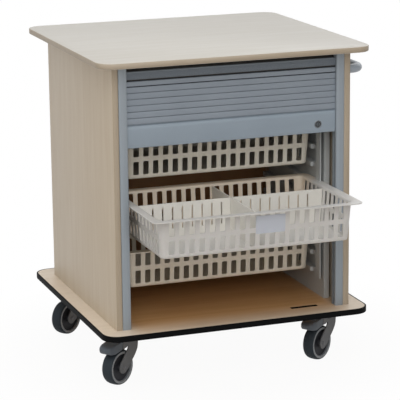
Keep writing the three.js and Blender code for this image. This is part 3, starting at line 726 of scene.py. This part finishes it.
def makeLiners():
    spec = linerSpec
    w, sink = spec["wall"], spec["sink"]
    lowTray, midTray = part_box("lower_basket"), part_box("middle_basket")
    step = (midTray[0].z - lowTray[0].z) / spec["steps"]
    seat = lowTray[1].z - spec["underRim"]
    levels = [seat + i * step for i in range(-spec["below"], spec["above"] + 1)]
    for side, sign in (("right", 1), ("left", -1)):
        low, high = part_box(f"{side}_liner")
        front, back, outer = low.y, high.y, high.x if sign > 0 else low.x
        face = outer - sign * spec["stile"]
        section = [(face, front), (outer, front), (outer, front + w), (face + sign * w, front + w),
            (face + sign * w, back - w), (outer, back - w), (outer, back), (face, back)]
        parts = [alongZ(section, low.z, high.z)]
        inner, far = [face - sign * reach for reach in spec["strip"]]
        tip, tipFrom = face - sign * spec["reach"], front + spec["tipFrom"]
        root = face + sign * sink
        for level in levels:
            under = level - spec["height"]
            for end, y0, y1 in ((tip, tipFrom, back - w), (far, front + spec["neckFrom"], tipFrom + sink)):
                runner = [(root, level), (end, level), (end, under + spec["draft"]), (root, under)]
                parts.append(prism(runner, y0, y1))
        strip = rectangle(inner, front + spec["stripFrom"], far, front + spec["stripTo"])
        parts.append(alongZ(strip, levels[0] - spec["stripDrop"], high.z))
        mesh = makeMesh(f"{side}RunnerLiner", *joinMeshes(parts))
        piece = addPiece(mesh, "carcass", linerGrey, [f"{side}_liner"])
        soften(piece, spec["edge"])


makeLiners()
print("liners made")


# shutter slats with rounded edges, and wider joints at the two highest
slatSpec = {
    "count": 7, "joint": 0.0002, "under": {7: 0.0010}, "over": {6: 0.0010, 7: 0.0028},
    "round": 0.0017, "depth": 0.0014,
    "bend": ((1, 0), (0.4, 0.3), (0.1, 0.65), (0, 1)),  # shares of depth and round
    "strip": 0.007, "stripThick": 0.0012, "bead": 1.4,
}


def slatSection(front, back, z0, z1):
    spec = slatSpec
    edge = [(front + spec["depth"] * deep, spec["round"] * rise) for deep, rise in spec["bend"]]
    section = [(back, z0)] + [(y, z0 + rise) for y, rise in edge]
    return section + [(y, z1 - rise) for y, rise in edge[::-1]] + [(back, z1)]


def makeSlats():
    spec = slatSpec
    h, t = spec["strip"] / 2, spec["stripThick"]
    for i in range(1, spec["count"] + 1):
        low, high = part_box(f"shutter_slat_{i}")
        z0, z1 = low.z + spec["under"].get(i, spec["joint"]), high.z - spec["over"].get(i, spec["joint"])
        mesh = makeMesh(f"shutterSlat{i}", *alongX(slatSection(low.y, high.y, z0, z1), low.x, high.x))
        addPiece(mesh, "shutter", shutterGrey, [f"shutter_slat_{i}"])
        if i in spec["over"]:
            # black strip behind the joint above, painted shade in the joint's gap
            y, z = high.y, high.z
            bead = [(y - t, z - h), (y - t * spec["bead"], z), (y - t, z + h), (y, z + h), (y, z - h)]
            strip = makeMesh(f"jointShadeStrip{i}", *alongX(bead, low.x, high.x))
            addPiece(strip, "shutter", jointShadeBlack)


# bottom rail: a proud pad under a cove, with tongues that run in the posts
railSpec = {
    "tongue": 0.0088, "tongueEdge": 0.001, "padFront": 0.0025,
    "foot": ((0.0012, 0), (0.0003, 0.0005), (0, 0.0016)),  # behind the front, above the foot
    "coveHeight": 0.013, "coveDepth": 0.005, "coveBend": (0.0015, 0.0035), "lip": 0.0022, "coveSteps": 10,
    "lockHole": 0.0102, "holeReach": 0.01, "holeSides": 48,
}
lockMiddle = Vector(joints["lock_turn"]["pos_m"])
toLock = Matrix.Translation((lockMiddle.x, 0, lockMiddle.z))


def makeRail():
    spec = railSpec
    low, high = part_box("shutter_rail")
    front, back, top = low.y + spec["padFront"], high.y, high.z
    deep, (bendY, bendZ) = front + spec["coveDepth"], spec["coveBend"]
    section = [(back, low.z)] + [(low.y + y, low.z + z) for y, z in spec["foot"]]
    start, end = (low.y, top - spec["coveHeight"]), (deep, top - spec["lip"])
    section += quadCurve(start, (low.y + bendY, top - bendZ), end, spec["coveSteps"])
    section += [(deep, top), (back, top)]
    x0, x1 = low.x + spec["tongue"], high.x - spec["tongue"]
    hole = rod(spec["lockHole"], low.y - spec["holeReach"], back + spec["holeReach"], spec["holeSides"])
    bar = carve("shutterRailBar", alongX(section, x0, x1), moved(hole, toLock))
    addPiece(bar, "shutter", railGrey, ["shutter_rail"])
    e = spec["tongueEdge"]
    tongue = [(back, low.z), (front + e, low.z), (front, low.z + e), (front, top - e), (front + e, top),
        (back, top)]
    ends = [alongX(tongue, low.x, x0), alongX(tongue, x1, high.x)]
    addPiece(makeMesh("railTongues", *joinMeshes(ends)), "shutter", railGrey)


# slats that follow the rail down: closed up under the top, in a darker grey that is painted shade
followSpec = {"count": 10, "joint": 0.0004, "height": 0.0235, "chamfer": 0.0008, "cutShare": 0.12,
    "setBack": 0.0003}


def makeFollowingSlats():
    spec = followSpec
    low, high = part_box("shutter_slat_7")
    front, back, c = low.y + spec["setBack"], high.y, spec["chamfer"]
    floor = high.z + spec["joint"]
    ceiling = floor + spec["height"]
    # where the blend's soft step passes equal shares, so that all draw out to the same height
    shares = [k / spec["count"] for k in range(spec["count"] + 1)]
    stops = [ceiling - spec["height"] * (0.5 - math.sin(math.asin(1 - 2 * share) / 3)) for share in shares]
    parts = []
    for z1, z0 in zip(stops, stops[1:]):
        cut = (z1 - z0) * spec["cutShare"]
        section = [(back, z0), (front + c, z0), (front, z0 + cut), (front, z1 - cut), (front + c, z1),
            (back, z1)]
        parts.append(alongX(section, low.x, high.x))
    mesh = makeMesh("followingSlats", *joinMeshes(parts))
    piece = addPiece(mesh, None, followShadeGrey)
    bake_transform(piece)


makeSlats()
makeRail()
makeFollowingSlats()
print("shutter made")


# black lining of the slot in the base that takes the lock's cam: painted shade of the slot's inside
strikeSpec = {"length": 0.080, "width": 0.014, "wall": 0.0012, "depth": 0.012, "proud": 0.0003,
    "camHalf": 0.006, "lap": 0.0006, "gap": 0.0002, "edge": 0.0002}


def makeStrike():
    spec = strikeSpec
    y0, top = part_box("shutter_slat_1")[1].y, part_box("base_board")[1].z
    x1 = lockMiddle.x + spec["camHalf"] + spec["lap"]
    x0, y1 = x1 - spec["length"], y0 + spec["width"]
    w, z0, z1 = spec["wall"], top - spec["depth"], top + spec["proud"]
    rings = []
    for inset, z in ((spec["gap"], z0), (spec["gap"], z1), (w, z1), (w, z0 + w)):
        loop = rectangle(x0 + inset, y0 + inset, x1 - inset, y1 - inset)
        rings.append([Vector((x, y, z)) for x, y in loop])
    piece = addPiece(makeMesh("strikeShadeLining", *loft(rings)), "carcass", blackBand)
    soften(piece, spec["edge"])


# lock face with its key slot, and the cam behind the rail
lockSpec = {  # profiles: radius, distance behind the front
    "ring": ((0.0085, 0.0006), (0.0091, 0), (0.0102, 0), (0.011, 0.0006), (0.011, 0.0012), (0.0085, 0.0012)),
    "face": ((0, 0.0005), (0.0083, 0.0005), (0.0083, 0.006), (0, 0.006)),
    "plug": ((0, 0.0002), (0.0047, 0.0002), (0.0052, 0.0007), (0, 0.0007)),
    "key": (0.0018, 0.0070), "keyDepth": 0.002, "barrel": 0.0095, "barrelFrom": 0.004,
    "cam": (0.046, 0.012, 0.003), "camSteps": 12, "sides": 48,
}


def makeLock():
    spec = lockSpec
    low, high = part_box("lock_barrel")
    for key, finish in (("ring", lockNickel), ("face", lockDark), ("plug", lockPlugGrey)):
        part = turned([(radius, low.y + along) for radius, along in spec[key]], spec["sides"])
        addPiece(makeMesh("lock" + key.title(), *moved(part, toLock)), "shutter_lock", finish)
    # the key slot is a black block: painted shade of the slot
    x, z = spec["key"][0] / 2, spec["key"][1] / 2
    keySlot = prism(rectangle(-x, -z, x, z), low.y, low.y + spec["keyDepth"])
    addPiece(makeMesh("keyWayShade", *moved(keySlot, toLock)), "shutter_lock", blackBand)
    length, wide, thick = spec["cam"]
    cam = arc(0, 0, wide / 2, -90, 90, spec["camSteps"])
    cam += arc(wide / 2 - length, 0, wide / 2, 90, 270, spec["camSteps"])
    barrel = rod(spec["barrel"], low.y + spec["barrelFrom"], high.y, spec["sides"])
    parts = [prism(cam, high.y - thick, high.y), barrel]
    mesh = makeMesh("lockCam", *moved(joinMeshes(parts), toLock))
    addPiece(mesh, "shutter_lock", zincSteel, ["lock_barrel"])


makeStrike()
makeLock()
print("lock made")


# push handle
handleSpec = {
    "bend": 0.036, "bendSteps": 12, "sides": 32,
    "cup": 0.023, "cupDepth": 0.0057, "cupSides": 48, "rimShare": 0.4, "browShare": 0.62, "browIn": 0.001,
    "collar": (0.004, 0.003), "collarEdge": 0.0004,  # beyond the tube
}


def makeHandle():
    spec = handleSpec
    low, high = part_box("push_handle")
    radius, level = (high.z - low.z) / 2, (high.z + low.z) / 2
    front, back, out = low.y + radius, high.y - radius, high.x - radius
    bend, steps = spec["bend"], spec["bendSteps"]
    path = [(low.x, front), *arc(out - bend, front + bend, bend, -90, 0, steps)]
    path += [*arc(out - bend, back - bend, bend, 0, 90, steps), (low.x, back)]
    turns = [2 * math.pi * k / spec["sides"] for k in range(spec["sides"])]
    rings = []
    for i, (x, y) in enumerate(path):
        before, after = path[max(i - 1, 0)], path[min(i + 1, len(path) - 1)]
        side = Vector((after[0] - before[0], after[1] - before[1], 0)).normalized().cross(up)
        rings.append([Vector((x, y, level)) + radius * (side * math.cos(a) + up * math.sin(a)) for a in turns])
    mesh = makeMesh("pushHandleTube", *loft(rings))
    addPiece(mesh, "carcass", handleGrey, ["push_handle"])
    c, d, (wide, narrow) = spec["cup"], spec["cupDepth"], spec["collar"]
    profile = [(0, 0), (c, 0), (c, d * spec["rimShare"]), (c - spec["browIn"], d * spec["browShare"]),
        (radius + wide, d - spec["collarEdge"]), (radius + narrow, d), (0, d)]
    cup = moved(turned(profile, spec["cupSides"]), Matrix.Rotation(-math.pi / 2, 4, "Z"))
    for end, y in (("front", front), ("rear", back)):
        node = f"handle_{end}_flange"
        part = moved(cup, Matrix.Translation((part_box(node)[0].x, y, level)))
        addPiece(makeMesh(f"handle{end.title()}Cup", *part), "carcass", handleGrey, [node])


makeHandle()
print("handle made")


# castors, each built about its stem with the wheel trailing along -X; mirrored profiles are (radius, out)
wheelSpec = {
    "tyre": ((0.0455, 0.017), (0.046, 0.017), (0.0472, 0.016), (0.0486, 0.0135), (0.0496, 0.009),
        (0.05, 0.004)),
    "rim": ((0.0386, 0.0165), (0.0392, 0.017), (0.0448, 0.017), (0.0452, 0.0165)),
    "disc": ((0.0045, 0.018), (0.009, 0.018), (0.01, 0.017), (0.0125, 0.01), (0.0346, 0.009), (0.0382, 0.011)),
    "sides": 80, "sharp": 40,
}
forkSpec = {
    "half": 0.0185, "plate": 0.004, "edge": 0.0012, "edgeSteps": 3,
    "corner": (0.0265, 0.126), "shoulder": 0.003, "shoulderSteps": 4, "brow": 0.1035, "rear": 0.030,
    "boss": 0.0162, "bossTurn": (-42, -216), "bossSteps": 22, "lineSteps": 5,
    "front": ((0.0265, 0.111), (0.0240, 0.0935), (0.0130, 0.0765), (-0.0030, 0.0600), (-0.0165, 0.0440)),
    "back": ((-0.0475, 0.0675), (-0.0305, 0.0865), (-0.0195, 0.0975), (-0.0165, 0.1030), (-0.0168, 0.1070),
        (-0.0200, 0.1078), (-0.0235, 0.1050)),
    "crown": ((0, 0.1155), (0.0255, 0.1155), (0.0265, 0.1165), (0.0265, 0.124), (0.0245, 0.126),
        (0.022, 0.133), (0.021, 0.135), (0.021, 0.1447), (0, 0.1447)), "crownSides": 56,  # radius, height
    "axle": ((0, 0.0241), (0.0045, 0.0239), (0.0066, 0.0231), (0.007, 0.0223), (0.004, 0.0223)),
    "axleSides": 32,
}
pedalSpec = {
    "axis": (-0.0333, 0.118), "barrel": 0.006, "barrelSides": 32, "gap": 0.0003,
    "shoeFrom": 0.0065, "reach": 0.063, "top": 0.007, "topSteps": 10, "heel": 0.0142, "heelBack": 0.0028,
    "nose": 0.008, "noseLength": 0.013, "noseSteps": 6, "sole": 0.0205,
    "slices": 12, "drawIn": 0.016, "drawShare": 0.75, "square": 0.012,  # the tail narrows, the heel is square
    "edge": 0.002, "edgeSteps": 3, "edgeAngle": 60,
}
boltSpec = {"inset": 0.013, "head": 0.0065, "height": 0.004, "edge": 0.0004}


def castorMatrix(corner):
    stem, roll = joints[f"{corner}_swivel"]["pos_m"], joints[f"{corner}_roll"]
    axle = Vector(roll["axis"]).normalized()
    matrix = Matrix((axle.cross(up), axle, up)).transposed().to_4x4()
    matrix.translation = (stem[0], stem[1], 0)
    return matrix, matrix.inverted() @ Vector(roll["pos_m"])


def makeWheel(corner, matrix, hub):
    spec = wheelSpec
    toHub = matrix @ Matrix.Translation(hub)
    for key, finish, slotName, stands in (
        ("tyre", tyreRubber, "tyre_rubber", [f"{corner}_tyre"]),
        ("rim", rimGrey, "wheel_centre", [f"{corner}_wheel_hub"]),
        ("disc", discDark, "wheel_centre", ()),
    ):
        part = moved(turned(mirrored(spec[key]), spec["sides"]), toHub)
        mesh = makeMesh(corner + key.title(), *part, sharp=spec["sharp"])
        addPiece(mesh, f"{corner}_wheel", finish, stands)


def makeFork(corner, matrix, hub, braked):
    spec = forkSpec
    body = f"{corner}_castor"
    rear = pedalSpec["axis"][0] - pedalSpec["barrel"] + pedalSpec["gap"] if braked else -spec["rear"]
    (x, z), r = spec["corner"], spec["shoulder"]
    leg = [(rear, z), *arc(x - r, z - r, r, 90, 0, spec["shoulderSteps"])]
    leg += smoothLine(spec["front"], spec["lineSteps"])
    leg += arc(hub.x, hub.z, spec["boss"], *spec["bossTurn"], spec["bossSteps"])
    leg += smoothLine(spec["back"], spec["lineSteps"])
    leg += [(rear, spec["brow"])]
    inner, outer = spec["half"], spec["half"] + spec["plate"]
    legs = joinMeshes([prism(leg, -outer, -inner), prism(leg, inner, outer)])
    mesh = makeMesh(corner + "ForkLegs", *moved(legs, matrix))
    piece = addPiece(mesh, body, castorGrey, [f"{corner}_castor_fork"])
    soften(piece, spec["edge"], spec["edgeSteps"])
    crown = turnToZ(turned(spec["crown"], spec["crownSides"]))
    addPiece(makeMesh(corner + "Crown", *moved(crown, matrix)), body, castorGrey)
    axle = moved(turned(mirrored(spec["axle"]), spec["axleSides"]), matrix @ Matrix.Translation(hub))
    addPiece(makeMesh(corner + "Axle", *axle), body, castorGrey, [f"{corner}_axle"])


def makePedal(corner, matrix):
    spec = pedalSpec
    ax, az = spec["axis"]
    front, tail = ax - spec["shoeFrom"], ax - spec["reach"]
    top, nose, sole = az + spec["top"], az - spec["nose"], az - spec["sole"]
    section = [(front - spec["heelBack"], az - spec["heel"]), (front, top)]
    section += quadCurve((front, top), (tail, top), (tail, nose), spec["topSteps"])[1:]
    section += quadCurve((tail, nose), (tail, sole), (tail + spec["noseLength"], sole), spec["noseSteps"])[1:]

    def drawn(x, s):
        # slices across the pedal draw the tail in at both sides
        pull = spec["drawIn"] * (1 - math.sqrt(max(1 - s ** 4, 0)))
        return max(x, tail + pull + (x - tail) * spec["drawShare"]) if x < front - spec["square"] else x

    outer = forkSpec["half"] + forkSpec["plate"]
    across = [2 * i / spec["slices"] - 1 for i in range(spec["slices"] + 1)]
    shoe = loft([[Vector((drawn(x, s), s * outer, z)) for x, z in section] for s in across])
    half, b = forkSpec["half"] - spec["gap"], spec["barrel"]
    barrel = moved(rod(b, -half, half, spec["barrelSides"]), Matrix.Translation((ax, 0, az)))
    arm = prism(rectangle(front - b, az - b, ax, az + b), -half, half)
    mesh = makeMesh(corner + "BrakeShoe", *moved(joinMeshes([shoe, barrel, arm]), matrix))
    piece = addPiece(mesh, f"{corner}_pedal", shoeGrey, [f"{corner}_brake_pedal"])
    soften(piece, spec["edge"], spec["edgeSteps"], spec["edgeAngle"])


def makePlateBolts(corner):
    spec = boltSpec
    low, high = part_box(f"{corner}_castor_plate")
    head = turnToZ(prism(arc(0, 0, spec["head"], 0, 300, 5), 0, spec["height"]))  # six corners
    parts = []
    for x in (low.x + spec["inset"], high.x - spec["inset"]):
        for y in (low.y + spec["inset"], high.y - spec["inset"]):
            parts.append(moved(head, Matrix.Translation((x, y, low.z - spec["height"]))))
    piece = addPiece(makeMesh(corner + "PlateBolts", *joinMeshes(parts)), "carcass", zincSteel)
    soften(piece, spec["edge"])


for corner in castorNames:
    toCastor, hubPlace = castorMatrix(corner)
    makeWheel(corner, toCastor, hubPlace)
    makeFork(corner, toCastor, hubPlace, "front" in corner)
    if "front" in corner:
        makePedal(corner, toCastor)
    makePlateBolts(corner)
print("castors made")


# floor, light and camera
stageSpec = {"floor": 30.0, "clear": 0.35, "fade": 0.9, "shadow": 0.05, "paper": (0.66, 0.61, 0.56, 1),
    "ambient": 0.2}
lampSpec = {
    "overhead": {"place": (-0.9, -1.3, 4.1), "size": 3.8, "power": 80},
    "leftSide": {"place": (-4.0, -1.2, 2.2), "size": 3.0, "power": 26},
    "front": {"place": (-0.8, -4.1, 2.7), "size": 3.2, "power": 72},
    "rearRight": {"place": (3.2, 2.6, 3.0), "size": 3.0, "power": 31},
    "rear": {"place": (0.5, 4.4, 1.3), "size": 2.6, "power": 46, "shine": False},
}
cameraSpec = {"place": (-1.8568, -5.0641, 1.7422), "yaw": 0.3479, "pitch": 0.2358, "roll": -0.0108,
    "lens": 174.44, "sensor": 36, "far": 60}


def directRays(tree):
    # 1 for what is seen straight on, in a reflection or through something
    rays = tree.nodes.new("ShaderNodeLightPath").outputs
    seen = compute(tree, "MAXIMUM", rays["Is Camera Ray"], rays["Is Glossy Ray"])
    return compute(tree, "MAXIMUM", seen, rays["Is Transmission Ray"])


def makeFloor():
    # plain white to the eye, with a faint shadow near the unit, and paper for the light that bounces
    spec = stageSpec
    half = spec["floor"] / 2
    mesh = bpy.data.meshes.new("studioFloor")
    mesh.from_pydata([(x, y, 0) for x, y in rectangle(-half, -half, half, half)], [], [(0, 1, 2, 3)])
    floor = link("studioFloor", mesh)
    material = bpy.data.materials.new("studioPaper")
    material.use_nodes = True
    tree = material.node_tree
    tree.nodes.clear()
    paper = place(tree, "ShaderNodeBsdfDiffuse", {"Color": spec["paper"]}).outputs[0]
    glow = place(tree, "ShaderNodeEmission", {"Color": white, "Strength": 1.0}).outputs[0]
    reach = place(tree, "ShaderNodeVectorMath", {0: objectSpot(tree)}, operation="LENGTH").outputs["Value"]
    away = remap(tree, reach, (spec["clear"], spec["fade"]), (1 - spec["shadow"], 1), smooth=True)
    share = compute(tree, "MULTIPLY", directRays(tree), away)
    mixed = place(tree, "ShaderNodeMixShader", {0: share, 1: paper, 2: glow})
    place(tree, "ShaderNodeOutputMaterial", {"Surface": mixed.outputs[0]})
    mesh.materials.append(material)


def makeWorld():
    world = bpy.data.worlds.new("studioWorld")
    bpy.context.scene.world = world
    world.use_nodes = True
    tree = world.node_tree
    tree.nodes.clear()
    level = remap(tree, directRays(tree), to=(stageSpec["ambient"], 1))
    sky = place(tree, "ShaderNodeBackground", {"Color": white, "Strength": level})
    place(tree, "ShaderNodeOutputWorld", {"Surface": sky.outputs[0]})


def makeLamps():
    middle = (cadBox[0] + cadBox[1]) / 2
    for name, spec in lampSpec.items():
        data = bpy.data.lights.new(name, "AREA")
        data.shape = "SQUARE"
        data.size = spec["size"]
        data.energy = spec["power"]
        lamp = link(name, data)
        lamp.visible_glossy = spec.get("shine", True)  # the rear fill makes no glare on the top
        lamp.location = spec["place"]
        lamp.rotation_euler = (middle - lamp.location).to_track_quat("-Z", "Y").to_euler()


def makeCamera():
    spec = cameraSpec
    data = bpy.data.cameras.new("productCamera")
    data.lens = spec["lens"]
    data.sensor_width = spec["sensor"]
    data.clip_end = spec["far"]
    camera = link("productCamera", data)
    camera.location = spec["place"]
    flat = math.cos(spec["pitch"])
    ahead = Vector((math.sin(spec["yaw"]) * flat, math.cos(spec["yaw"]) * flat, -math.sin(spec["pitch"])))
    look = ahead.to_track_quat("-Z", "Y").to_matrix() @ Matrix.Rotation(spec["roll"], 3, "Z")
    camera.rotation_euler = look.to_euler()
    bpy.context.scene.camera = camera


makeFloor()
makeWorld()
makeLamps()
makeCamera()
bpy.context.scene.view_settings.view_transform = "Standard"
print("stage made")

bpy.context.view_layer.update()
